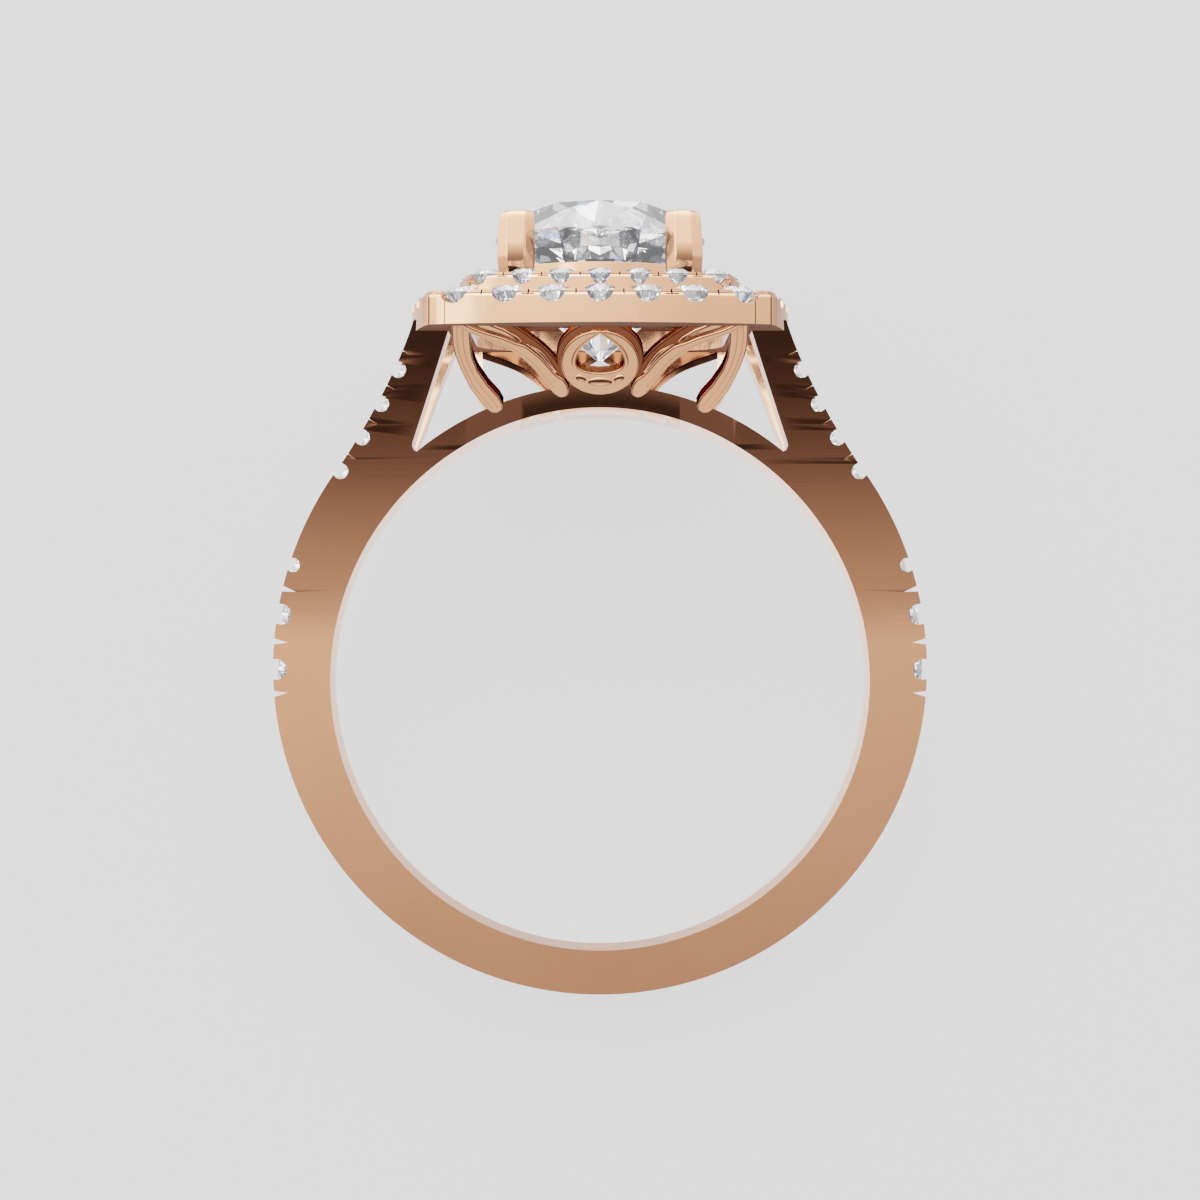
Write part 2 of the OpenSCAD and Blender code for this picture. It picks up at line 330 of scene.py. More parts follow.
def cushion(size, inset=0.0):
    """A cushion's measures: from its middle to the centre of a bowed side, the side's radius, half its angle."""
    half, bow, corner = size
    m = bow - half
    c = (-m + sqrt(2 * (bow - corner) ** 2 - m * m)) / 2
    return m, bow - inset, atan2(c, c + m)


def cushion_outline(size, turn_r, side_steps=24, corner_steps=3):
    """Each side is bowed, turns a little more near its ends and meets the next one in a crease."""
    m, side_r, start = cushion(size)
    quarter = [(side_r * sin(a), side_r * cos(a) - m) for a in
               (start * (2 * i / side_steps - 1) for i in range(side_steps + 1))]
    quarter[0:1] = [quarter[0], (quarter[0][0] + 0.025, quarter[0][1] + 0.006)]
    quarter[-1:] = [(quarter[-1][0] - 0.025, quarter[-1][1] + 0.006), quarter[-1]]
    cx, cy = quarter[-1][0] - turn_r * sin(start), quarter[-1][1] - turn_r * cos(start)
    end = pi / 4 + asin((cy - cx) / (turn_r * sqrt(2)))
    arc = [start + (end - start) * i / corner_steps for i in range(1, corner_steps + 1)]
    arc = [(cx + turn_r * sin(a), cy + turn_r * cos(a)) for a in arc]
    quarter += arc + [(y, x) for x, y in reversed(arc[:-1])]
    out = []
    for q in range(4):
        t = -q * pi / 2
        out += [(x * cos(t) - y * sin(t), x * sin(t) + y * cos(t)) for x, y in quarter]
    return out


def row_place(size, inset, y, along, side, turn=None):
    """A place on a cushion row, Y up and Z outwards, a distance along from the middle of a side."""
    m, side_r = cushion(size, inset)[:2]
    a = along / side_r
    at = Matrix.Translation((side_r * sin(a), y, side_r * cos(a) - m))
    turned = a if turn is None else radians(turn) * (1 if along > 0 else -1)
    return Matrix.Rotation(side * pi / 2, 4, "Y") @ at @ Matrix.Rotation(turned, 4, "Y")


def row_places(row, y):
    """The stones' places: the front and back rows with the corner stones, then the two sides."""
    out = []
    for side in (0, 2):
        out += [row_place(row["size"], row["inset"], y, s, side) for s in row["front"]]
        out += [row_place(row["size"], row["inset"], y, s, side, row["turn"]) for s in row["corner"]]
    for side in (1, 3):
        out += [row_place(row["size"], row["inset"], y, s, side) for s in row["side"]]
    return out


def split_places(row, y):
    """Midway between the stones of each row."""
    out = []
    for side in range(4):
        stops = sorted(row["front"] + row["corner"] if side % 2 == 0 else row["side"])
        out += [row_place(row["size"], row["inset"], y, (p + q) / 2, side) for p, q in zip(stops, stops[1:])]
    return out


LOWER_ROW = dict(size=LOWER, inset=0.75, front=[-2.67, -1.335, 0.0, 1.335, 2.67], corner=[-4.005, 4.005],
                 turn=26, side=[-3.45, -2.08, -0.7, 0.7, 2.08, 3.45])
UPPER_ROW = dict(size=UPPER, inset=0.51, front=[-2.23, -1.13, 0.0, 1.13, 2.23], corner=[-3.35, 3.35],
                 turn=36, side=[-2.31, -1.16, 0.0, 1.16, 2.31])
Z_TO_Y = Matrix.Rotation(-pi / 2, 4, "X")
Z_TO_X = Matrix.Rotation(pi / 2, 4, "Y")


def stone_places():
    """Places of the small stones, with Z towards the table."""
    lower = [p @ Z_TO_Y for p in row_places(LOWER_ROW, LOWER_TOP - 0.06)]
    upper = [p @ Z_TO_Y for p in row_places(UPPER_ROW, UPPER_TOP - 0.05)]
    shoulder = []
    for t in SHOULDER_SEATS:
        y = bezier(SHOULDER, t).y
        z = (half_depth(y) + half_gap(y)) / 2
        for side in (1, -1):
            for z_side in (z, -z):
                shoulder.append(outline_place(t, SHOULDER_SINK, side) @ Matrix.Translation((0, 0, z_side)) @ Z_TO_X)
    band = [band_place(a, BAND_SINK, side) @ Z_TO_X for a in BAND_SEATS for side in (1, -1)]
    return lower, upper, shoulder, band


def seat_tool(d):
    """What is cut for a small stone: a cone under the girdle and a straight wall over it."""
    r = d / 2 + SEAT_GAP
    o = disc("seat tool", r, 0.5 + 0.02 * d + 0.02, 32, (0, 0, (0.5 - 0.02 * d - 0.02) / 2))
    edit(o)
    pick("FACE", lambda f: f.normal.z < -0.9)
    bpy.ops.mesh.extrude_region_move(TRANSFORM_OT_translate={"value": (0, 0, -0.43 * d - 0.03)})
    s = 0.06 / r
    bpy.ops.transform.resize(value=(s, s, 1), center_override=(0, 0, 0))
    leave()
    return o


def wedge_tool(half_mouth, deep, length):
    """A V cutter with its point at the origin and its mouth along +X."""
    return traced("notch tool", [(0, 0), (deep, -half_mouth), (deep, half_mouth)], length)


# ---- shank

def make_arch():
    """The arch under the head. Its front and back bow outwards and lean out with height."""
    arch = disc("arch", ARCH_R, 8, 256)
    edit(arch)
    bpy.ops.mesh.select_all(action="SELECT")
    bpy.ops.mesh.bisect(plane_co=(0, 6.2, 0), plane_no=(0, 1, 0), use_fill=True, clear_inner=True)
    leave()
    xs = [-6 + 0.2 * i for i in range(61)]
    seen_from_above = [(x, -x * x / (2 * ARCH_BOW)) for x in xs] + [(6, -9), (-6, -9)]
    for back in (0, pi):
        slab = traced("arch front", seen_from_above, 10)
        slab.matrix_world = (Matrix.Rotation(back, 4, "Y") @ Matrix.Translation((0, BORE, ARCH_FRONT))
                             @ Matrix.Rotation(atan(ARCH_SLOPE), 4, "X") @ Matrix.Rotation(pi / 2, 4, "X"))
        only(slab)
        bpy.ops.object.transform_apply(location=True, rotation=True, scale=True)
        boolean(arch, slab, "INTERSECT")
    return arch


def make_shank():
    ring = disc("shank", BAND_R, 8, 256, (0, RISE, 0))
    edit(ring)
    bpy.ops.mesh.select_all(action="SELECT")
    bpy.ops.mesh.bisect(plane_co=(0, SHOULDER[0].y, 0), plane_no=(0, 1, 0), use_fill=True, clear_outer=True)
    leave()
    for side in (1, -1):
        pts = [bezier(SHOULDER, i / 24) for i in range(25)]
        pts += [Vector(p) for p in ((4.42, 10.85), (4.51, 10.55), (5.66, 7.28), (5.69, 7.14), (5.64, 7.01),
                                    (5.55, 6.97), (5.42, 7.03), (5.0, 6.6), (5.2, 6.2))]
        boolean(ring, traced("shoulder", [(side * p.x, p.y) for p in pts], 8), "UNION")
    boolean(ring, disc("arch", ARCH_R, 8, 256), "UNION")
    heights = [-11, 1.2] + [1.4 + 0.2 * i for i in range(48)] + [12]
    side_view = [(half_depth(y), y) for y in heights] + [(-half_depth(y), y) for y in reversed(heights)]
    slab = traced("side view", side_view, 24)
    edit(slab)
    bpy.ops.mesh.select_all(action="SELECT")
    bpy.ops.transform.rotate(value=-pi / 2, orient_axis="Y", center_override=(0, 0, 0))
    leave()
    boolean(ring, slab, "INTERSECT")
    gap = [(half_gap(y), y) for y in [6.4, 7.06, 7.5, 8.0, 8.3, 8.6, 9.2, 10.5, 13.0]]
    gap = traced("gap", gap + [(-x, y) for x, y in reversed(gap[1:])], 26)
    edit(gap)
    bpy.ops.mesh.select_all(action="SELECT")
    bpy.ops.transform.rotate(value=-pi / 2, orient_axis="Y", center_override=(0, 0, 0))
    leave()
    boolean(gap, disc("arch", ARCH_R, 10, 256))
    boolean(ring, gap)
    boolean(ring, make_arch(), "UNION")
    boolean(ring, disc("finger hole", BORE, 12, 256))
    return ring


def cut_shank_seats(ring, shoulder_places, band_places):
    cuts = []
    for a, r in zip(BAND_SEATS, BAND_SCALLOPS):
        cuts.append(copies(disc("scallop tool", r, 4, 24), "band scallops",
                           [band_place(a, 0.1, s) for s in (1, -1)]))
    cuts.append(copies(wedge_tool(0.13, 0.6, 4), "band notches",
                       [band_place(a, 0.42, s) for a in BAND_NOTCHES for s in (1, -1)]))
    cuts.append(copies(disc("scallop tool", 0.24, 8, 24), "shoulder scallops",
                       [outline_place(t, 0.1, s) for t in SHOULDER_SEATS for s in (1, -1)]))
    cuts.append(copies(wedge_tool(0.1, 0.3, 8), "shoulder splits",
                       [outline_place(t, 0.07, s) for t in SHOULDER_SPLITS for s in (1, -1)]))
    lines = [outline_place(t, 0.3, s) @ Matrix.Translation((0, 0, z * half_depth(bezier(SHOULDER, t).y)))
             for t in SHOULDER_SPLITS for s in (1, -1) for z in (1, -1)]
    cuts.append(copies(wedge_tool(0.016, 0.6, 0.12), "shoulder lines", lines))
    cuts.append(copies(seat_tool(BAND_STONE), "band seats", band_places))
    cuts.append(copies(seat_tool(SHOULDER_STONE), "shoulder seats", shoulder_places))
    for c in cuts:
        boolean(ring, c)
    tidy(ring)
    soften(ring, 0.02)
    # Painted shade in the fine lines cut across the shoulders
    inverse = [m.inverted() for m in lines]
    darken(ring, lambda f: abs(f.normal.z) < 0.8 and abs(f.calc_center_median().x) > 5.5 and any(
        abs(c.y) < 0.02 and -0.02 < c.x < 0.3 and abs(c.z) < 0.08
        for c in (m @ f.calc_center_median() for m in inverse)), painted_groove_shade)
    polish(ring, 20, weighted=False)
    return ring


# ---- halos

def standing(o):
    """Turns a drawing from the XY plane so that its depth runs up Y."""
    o.matrix_world = Matrix.Rotation(-pi / 2, 4, "X")
    only(o)
    bpy.ops.object.transform_apply(location=True, rotation=True, scale=True)
    return o


def cushion_block(name, size, turn_r, y0, y1):
    return standing(traced(name, cushion_outline(size, turn_r), y1 - y0, (y0 + y1) / 2))


def rounded_hole(name, half, corner, y0, y1):
    pts = []
    for q in range(4):
        for i in range(9):
            a = q * pi / 2 + i * pi / 16
            cx = (half - corner) * (1 if q in (0, 3) else -1)
            cy = (half - corner) * (1 if q in (0, 1) else -1)
            pts.append((cx + corner * cos(a), cy + corner * sin(a)))
    return standing(traced(name, pts, y1 - y0, (y0 + y1) / 2))


def on_rim(y):
    return lambda e: (all(abs(v.co.y - y) < 0.001 for v in e.verts) and len(e.link_faces) == 2
                      and any(abs(f.normal.y) < 0.1 for f in e.link_faces))


def rim_top(o, y, lip, rim, step):
    """A softly rounded edge round the top, and inside it a low rim that the stones are set in."""
    edit(o)
    pick("EDGE", on_rim(y))
    bpy.ops.mesh.bevel(offset=lip, offset_type="OFFSET", segments=4, affect="EDGES", profile=0.5)
    pick("FACE", lambda f: f.normal.y > 0.99 and f.calc_area() > 5)
    bpy.ops.mesh.extrude_region_move(TRANSFORM_OT_translate={"value": (0, 0, 0)})
    bpy.ops.transform.resize(value=(step, 1, step), center_override=(0, y, 0))
    bpy.ops.mesh.extrude_region_move(TRANSFORM_OT_translate={"value": (0, 0.025, 0)})
    bpy.ops.mesh.extrude_region_move(TRANSFORM_OT_translate={"value": (0, rim - 0.025, 0)})
    leave()


def scallop_tool(r, drop, length):
    """A U cutter running out along Z, its round bottom centred a little under the place."""
    pts = [(r * cos(a), r * sin(a) - drop) for a in (pi + i * pi / 16 for i in range(17))]
    return traced("scallop tool", pts + [(r, 0.5), (-r, 0.5)], length, length / 2)


def make_halo(name, size, turn_r, y0, y1, hole, row, stone_at, stone_d, scallop, rim, lip):
    halo = cushion_block(name, size, turn_r, y0, y1 - rim)
    rim_top(halo, y1 - rim, lip, rim, 0.996)
    # The crease at each corner
    edit(halo)
    pick("EDGE", lambda e: all(abs(abs(v.co.x) - abs(v.co.z)) < 0.002 for v in e.verts)
         and min(v.co.y for v in e.verts) < y1 - rim - 0.001)
    bpy.ops.mesh.bevel(offset=0.028, offset_type="OFFSET", segments=1, affect="EDGES")
    leave()
    boolean(halo, hole)
    boolean(halo, copies(scallop_tool(*scallop, row["inset"] + 0.6), "scallops", row_places(row, y1)))
    line = traced("split tool", [(x, y) for x, y in ((-0.018, -rim - 0.06), (0.018, -rim - 0.06),
                                                     (0.018, 0.3), (-0.018, 0.3))], 0.5, row["inset"] - 0.04)
    splits = split_places(row, y1)
    boolean(halo, copies(line, "splits", splits))
    boolean(halo, copies(seat_tool(stone_d), "seats", stone_at))
    tidy(halo)
    soften(halo, 0.01, angle=32)
    m, side_r, start = cushion(size)
    joint = side_r * sin(start)
    inverse = [p.inverted() for p in splits]

    def underside_shade_faces(f):
        c = f.calc_center_median()
        return (f.normal.y < -0.9 and c.y < y0 + 0.05
                or abs(c.y - (y1 - rim + 0.0125)) < 0.013 and max(abs(c.x), abs(c.z)) > size[0] - 0.8)

    def line(f):
        c, n = f.calc_center_median(), f.normal
        x, z = abs(c.x), abs(c.z)
        if abs(n.y) < 0.3 and y0 < c.y < y1 - rim and min(x, z) > joint - 0.03:
            return abs(x - z) < 0.05 or abs(min(x, z) - joint + 0.0125) < 0.013
        return c.y > y1 - rim - 0.07 and any(abs(q.x) < 0.022 and q.z > 0 for q in (m @ c for m in inverse))

    # Painted shade under the halo and on the step at the foot of its rim near the corners
    darken(halo, underside_shade_faces, painted_underside_shade)
    # Painted shade in the corner creases, where each bowed side meets its turn, and in the splits between the stones
    darken(halo, line, painted_groove_shade)
    polish(halo, 28)
    return halo


def make_rail():
    rail = turned("seat_rail", [(2.75, LOWER_TOP - 0.25), (3.25, LOWER_TOP - 0.25), (3.25, UPPER_TOP - 0.02),
                                (3.12, UPPER_TOP + 0.04), (3.12, GIRDLE_Y - 1.0), (2.88, GIRDLE_Y - 1.0),
                                (2.75, GIRDLE_Y - 1.5)], 128)
    soften(rail, 0.03)
    polish(rail)
    return rail


# ---- prongs

def prong_section():
    """An eight-sided post with softened corners and a shallow panel on each of its two outer faces."""
    w, c, r = PRONG_HALF_W, 0.28, 0.1
    out = []
    for q, corner in enumerate(((c, w), (w, c), (w, -c), (c, -w), (-c, -w), (-w, -c), (-w, c), (-c, w))):
        a = pi / 2 - q * pi / 4
        b = a - pi / 4
        back = r / (1 + cos(pi / 4))
        x, z = corner[0] - back * (cos(a) + cos(b)), corner[1] - back * (sin(a) + sin(b))
        out += [(x + r * cos(a - k * pi / 16), z + r * sin(a - k * pi / 16)) for k in range(5)]
    across = [(-0.234, w), (-0.23, w - 0.03), (0.23, w - 0.03), (0.234, w)]
    return across + out[:10] + [(z, x) for x, z in reversed(across)] + out[10:]


def make_prong():
    """Climbs in short steps, bowed outwards at mid height and drawn in to a domed tip over the stone."""
    base = LOWER_TOP - 0.2
    o = standing(traced("prong", [(x, -z) for x, z in prong_section()], 0.05, base + 0.025))
    # Height, size, lean and how far out the panels lie
    shape = [(11.3, 1.0, 0.0, 0.25), (12.1, 0.94, 0.0, 0.25), (12.4, 0.985, 0.01, 0.395), (12.75, 1.01, 0.02, 0.505),
             (13.15, 1.0, 0.015, 0.54), (13.55, 0.98, 0.0, 0.51), (13.91, 0.965, -0.02, 0.483),
             (14.03, 0.92, -0.03, 0.456), (14.11, 0.82, -0.045, 0.393), (PRONG_TOP, 0.6, -0.055, 0.27)]
    heights = [12.0, 12.1, 12.2, 12.3, 12.39, 12.45, 12.5, 12.56, 12.62, 12.68, 12.74, 12.8, 12.86, 12.93, 13.0,
               13.08, 13.15, 13.35, 13.55, 13.8, 13.91, 13.97, 14.03, 14.07, 14.11, 14.135, PRONG_TOP]
    # The panels sink more and more towards the halo
    sunk = {12.0: 0.25, 12.1: 0.26, 12.2: 0.31, 12.3: 0.36, 12.39: 0.405, 12.45: 0.432, 12.5: 0.452, 12.56: 0.474,
            12.62: 0.491, 12.68: 0.505, 12.74: 0.516, 12.8: 0.524, 12.86: 0.53, 12.93: 0.5345, 13.0: 0.5375,
            13.08: 0.54, 13.15: 0.54, 13.35: 0.527}
    bpy.ops.object.mode_set(mode="EDIT")
    y, size, lean = base + 0.05, 1.0, 0.0
    for ny in heights:
        k = max(i for i in range(len(shape) - 1) if shape[i][0] <= ny)
        a, b = shape[k], shape[k + 1]
        t = (ny - a[0]) / (b[0] - a[0])
        nsize, nlean, panel = [a[i] + (b[i] - a[i]) * t for i in (1, 2, 3)]
        panel = sunk.get(ny, panel)
        pick("FACE", lambda f: all(abs(v.co.y - y) < 0.0005 for v in f.verts))
        bpy.ops.mesh.extrude_region_move(TRANSFORM_OT_translate={"value": (nlean - lean, ny - y, nlean - lean)})
        s = nsize / size
        bpy.ops.transform.resize(value=(s, 1, s), center_override=(nlean, ny, nlean))
        for out, side in ((2, 0), (0, 2)):
            pick("VERT", lambda v: abs(v.co.y - ny) < 0.0005 and v.co[out] > 0.15
                 and abs(v.co[side] - nlean) < 0.232 * nsize)
            bpy.ops.transform.resize(value=(0, 1, 1) if out == 0 else (1, 1, 0),
                                     center_override=(panel, ny, nlean) if out == 0 else (nlean, ny, panel))
        y, size, lean = ny, nsize, nlean
    bpy.ops.mesh.select_all(action="SELECT")
    bpy.ops.mesh.normals_make_consistent(inside=False)
    leave()

    # Painted shade on the side walls of the panels
    def wall(f):
        c = f.calc_center_median()
        return c.y < 14 and (c.z > 0.2 and abs(c.x) < 0.26 and abs(f.normal.x) > 0.7
                             or c.x > 0.2 and abs(c.z) < 0.26 and abs(f.normal.z) > 0.7)

    darken(o, wall)
    polish(o, 50)
    return o


def make_prongs():
    one = make_prong()
    out = (STONE_D / 2 + 0.31) / sqrt(2)
    places = [Matrix.Rotation(q * pi / 2, 4, "Y") @ Matrix.Translation((out, 0, out)) for q in range(4)]
    prongs = copies(one, "prongs", places)
    r = STONE_D / 2 + SEAT_GAP
    stone = turned("stone tool", [(0, GIRDLE_Y - 4), (0.805 * r, GIRDLE_Y - 1.6), (r, GIRDLE_Y - 0.1),
                                  (r, GIRDLE_Y + 0.1), (0.57 * r, GIRDLE_Y + 1.07), (0, GIRDLE_Y + 1.07)], 96)
    boolean(prongs, stone)
    polish(prongs, 50)
    return prongs


# ---- gallery: drawn flat in a panel, X right, Y up from the foot, Z outwards

FOOT = BORE + 0.3
LEAN = radians(40.4)


def profile(name, points):
    """The section of a scroll, as a closed flat curve."""
    bpy.ops.object.select_all(action="DESELECT")
    bpy.ops.curve.primitive_bezier_circle_add(radius=1)
    o = bpy.context.object
    o.name = name
    o.data.dimensions = "2D"
    o.data.splines.clear()
    s = o.data.splines.new("POLY")
    s.points.add(len(points) - 1)
    for p, (x, y) in zip(s.points, points):
        p.co = (x, y, 0, 1)
    s.use_cyclic_u = True
    return o


def scroll(name, points, section, z):
    """A section swept along a smooth line of (x, y, size) points, closed at both ends."""
    bpy.ops.object.select_all(action="DESELECT")
    bpy.ops.curve.primitive_bezier_curve_add(radius=1)
    o = bpy.context.object
    o.name = name
    c = o.data
    c.dimensions = "3D"
    c.twist_mode = "Z_UP"
    c.resolution_u = 10
    s = c.splines[0]
    s.bezier_points.add(len(points) - 2)
    for b, (x, y, size) in zip(s.bezier_points, points):
        b.co = (x, y, z)
        b.radius = size
        b.handle_left_type = b.handle_right_type = "AUTO"
    s.radius_interpolation = "BSPLINE"
    c.bevel_mode = "OBJECT"
    c.bevel_object = section
    c.use_fill_caps = True
    only(o)
    bpy.ops.object.convert(target="MESH")
    o = bpy.context.object
    edit(o)
    bpy.ops.mesh.select_all(action="SELECT")
    bpy.ops.mesh.remove_doubles(threshold=0.002)
    bpy.ops.mesh.normals_make_consistent(inside=False)
    leave()
    return o


def bulge(name, at, size, turn=0.0):
    bpy.ops.object.select_all(action="DESELECT")
    bpy.ops.mesh.primitive_uv_sphere_add(segments=24, ring_count=14, radius=1)
    o = bpy.context.object
    o.name = name
    o.scale = size
    o.rotation_euler = (0, 0, turn)
    o.location = at
    bpy.ops.object.transform_apply(location=True, rotation=True, scale=True)
    return o


def flowing(points, steps=5):
    """A smooth line through the points."""
    out = []
    last = len(points) - 1
    for i in range(last):
        a, b, c, d = [points[min(max(i + k, 0), last)] for k in (-1, 0, 1, 2)]
        for j in range(steps):
            t = j / steps
            out.append(tuple(b[k] + 0.5 * ((c[k] - a[k]) * t + (2 * a[k] - 5 * b[k] + 4 * c[k] - d[k]) * t**2
                                           + (3 * b[k] - a[k] - 3 * c[k] + d[k]) * t**3) for k in (0, 1)))
    return out + [tuple(points[-1])]


def plate(name, outline, front, thick, rounding, hole=None):
    """A flat piece of the scroll work, pierced, with rounded edges and painted shade on its side walls."""
    o = traced(name, outline, thick, front - thick / 2)
    if hole:
        boolean(o, traced("piercing", hole, 6))
    tidy(o, 0.004)
    edit(o)
    pick("EDGE", lambda e: all(abs(v.co.z - front) < 0.001 for v in e.verts)
         and any(abs(f.normal.z) < 0.5 for f in e.link_faces))
    bpy.ops.mesh.bevel(offset=rounding, offset_type="OFFSET", segments=3, affect="EDGES", profile=0.5,
                       clamp_overlap=False)
    leave()
    # Painted shade on the side walls that face up or sideways
    darken(o, lambda f: abs(f.normal.z) < 0.3 and f.normal.y > -0.3)
    return o


def mirrored(points, s):
    return [(s * p[0],) + tuple(p[1:]) for p in points]


def between(a, b, t, size):
    """A line running between two others."""
    return [(p[0] + (q[0] - p[0]) * t, p[1] + (q[1] - p[1]) * t, size) for p, q in zip(a, b)]


def make_gallery():
    # Section of a fine line: X across, Y out of the panel
    fine = profile("fine section", [(-0.5, -0.5), (0.5, -0.5), (0.5, 0.0), (0.25, 0.22), (-0.25, 0.22), (-0.5, 0.0)])
    column_left = [(4.37, 3.0), (4.361, 2.586), (4.356, 1.872), (4.282, 1.44), (4.122, 0.896), (3.875, 0.236),
                   (3.587, -0.244), (3.36, -0.542)]
    column_right = [(3.82, 3.0), (3.815, 2.5), (3.805, 1.9), (3.76, 1.4), (3.62, 0.93), (3.33, 0.38), (3.02, -0.05),
                    (2.89, -0.35)]
    column = column_left + [(3.25, -0.63), (3.1, -0.65), (2.96, -0.55)] + column_right[::-1]
    under = [(4.75, 2.85), (4.361, 2.586), (3.959, 2.337), (3.525, 2.123), (2.944, 1.836), (2.508, 1.548),
             (2.073, 1.114), (1.782, 0.677), (1.49, 0.236), (1.343, 0.052), (1.165, -0.055), (1.0, 0.0),
             (0.923, 0.163)]
    over = [(0.924, 0.31), (1.04, 0.677), (1.243, 1.15), (1.476, 1.512), (1.767, 1.836), (1.97, 2.015),
            (2.26, 2.265), (2.549, 2.48), (2.838, 2.622), (3.15, 2.85)]
    groove = [(0.95, 0.34), (1.08, 0.6), (1.29, 0.77), (1.52, 1.08), (1.755, 1.4), (2.05, 1.69), (2.225, 1.825),
              (2.5, 1.93), (2.94, 2.145), (3.52, 2.36), (4.037, 2.64), (4.4, 2.85)]
    long_petal = [(4.2, 2.85), (3.95, 2.72), (3.49, 2.445), (2.91, 2.235), (2.48, 2.02), (2.26, 1.91), (2.32, 2.01),
                  (2.42, 2.13), (2.785, 2.385), (3.306, 2.63), (3.65, 2.85)]
    short_petal = [(2.2, 1.86), (2.05, 1.745), (1.76, 1.455), (1.54, 1.13), (1.31, 0.83), (1.345, 0.98),
                   (1.45, 1.187), (1.595, 1.43), (1.769, 1.64), (2.03, 1.81)]
    ribs = [between(column_left, column_right, 0.3, 0.035), between(column_left, column_right, 0.62, 0.035),
            between(under[1:9], [(4.26, 2.75), (3.85, 2.53), (3.42, 2.32), (2.8, 2.09), (2.32, 1.86), (1.8, 1.43),
                                 (1.45, 0.95), (1.12, 0.55)], 0.3, 0.035)]
    sides = []
    for s in (-1, 1):
        sides.append(plate("column", mirrored(column, s), -0.02, 0.4, 0.06))
        leaf = plate("leaf", flowing(mirrored(under + over, s)), -0.12, 0.24, 0.05)
        # The leaf behind the rail and petals is painted shaded all over
        darken(leaf, lambda f: True)
        sides.append(leaf)
        sides.append(plate("leaf rail", flowing(mirrored(under + groove, s)), 0.0, 0.3, 0.06))
        sides.append(plate("long petal", mirrored(long_petal, s), -0.03, 0.2, 0.07))
        sides.append(plate("short petal", flowing(mirrored(short_petal, s)), -0.02, 0.2, 0.06))
        for rib in ribs:
            line = scroll("fine line", mirrored(rib, s), fine, z=-0.005)
            line.data.materials.append(rose_gold)
            sides.append(line)
    round_loop = [(1.3 * sin(a), 1.33 + 1.3 * cos(a)) for a in (2 * pi * i / 72 for i in range(72))]
    inner_loop = [(1.16 * sin(a), 1.19 + 1.16 * cos(a)) for a in (2 * pi * i / 72 for i in range(72))]
    drop = [(0.294, 2.015), (0.589, 1.693), (0.709, 1.331), (0.66, 1.08), (0.504, 0.958), (0.28, 0.88)]
    drop = flowing([(0.0, 2.247)] + drop) + [(0.0, 0.855)]
    drop += [(-x, y) for x, y in reversed(drop[1:-1])]
    rim = [(x * 1.19, 1.42 + (y - 1.42) * 1.17) for x, y in drop]
    loop = plate("loop", round_loop, -0.12, 0.22, 0.05, drop)
    # The loop behind its face and rim is painted shaded all over
    darken(loop, lambda f: True)
    rings = [loop, plate("loop face", inner_loop, -0.02, 0.28, 0.06, drop), plate("rim", rim, 0.02, 0.2, 0.045, drop)]
    bead = bulge("bead", (0, 0.51, -0.03), (0.37, 0.17, 0.085))
    lobes = [bulge("bead lobe", (s * 0.565, 0.64, -0.03), (0.18, 0.125, 0.075), s * 0.45) for s in (-1, 1)]
    for o in [bead] + lobes:
        o.data.materials.append(rose_gold)
    bpy.data.objects.remove(fine)
    panel = join("gallery", sides + rings + [bead] + lobes)
    lean = Matrix.Translation((0, FOOT, 3.0)) @ Matrix.Rotation(LEAN, 4, "X")
    front = duplicate(panel, "gallery front", lean)
    back = duplicate(panel, "gallery back", Matrix.Rotation(pi, 4, "Y") @ lean)
    bpy.data.objects.remove(panel)
    gallery = join("gallery", [front, back])
    polish(gallery, 60)
    return gallery


# ---- stones

def facet(co, no):
    bpy.ops.mesh.select_all(action="SELECT")
    bpy.ops.mesh.bisect(plane_co=co, plane_no=no, use_fill=True, clear_outer=True, threshold=0.00001)


def cut_stone(name, r, rim, pavilion):
    """A round brilliant cut facet by facet from a rod. pavilion lists (angle, start, tilt, reach, height)."""
    o = disc(name, r, 3 * r, 64)
    edit(o)
    main, break_t, star_t = radians(34.5), radians(41.36), radians(21.7)
    reach = r * cos(pi / 16)
    for k in range(8):
        a = k * pi / 4
        facet((r * cos(a), r * sin(a), rim), (sin(main) * cos(a), sin(main) * sin(a), cos(main)))
    for k in range(16):
        a = (k + 0.5) * pi / 8
        facet((reach * cos(a), reach * sin(a), rim), (sin(break_t) * cos(a), sin(break_t) * sin(a), cos(break_t)))
    kite = 0.77 * r
    for k in range(8):
        a = (k + 0.5) * pi / 4
        facet((kite * cos(a), kite * sin(a), rim + 0.1986 * r),
              (sin(star_t) * cos(a), sin(star_t) * sin(a), cos(star_t)))
    facet((0, 0, rim + 0.43 * r * tan(main)), (0, 0, 1))
    for count, half_step, tilt, x, z in pavilion:
        t = radians(tilt)
        for k in range(count):
            a = (k + half_step) * 2 * pi / count
            facet((x * cos(a), x * sin(a), z), (sin(t) * cos(a), sin(t) * sin(a), -cos(t)))
    bpy.ops.mesh.select_all(action="SELECT")
    bpy.ops.mesh.remove_doubles(threshold=0.0005)
    bpy.ops.mesh.normals_make_consistent(inside=False)
    leave()
    only(o)
    bpy.ops.object.shade_flat()
    return o


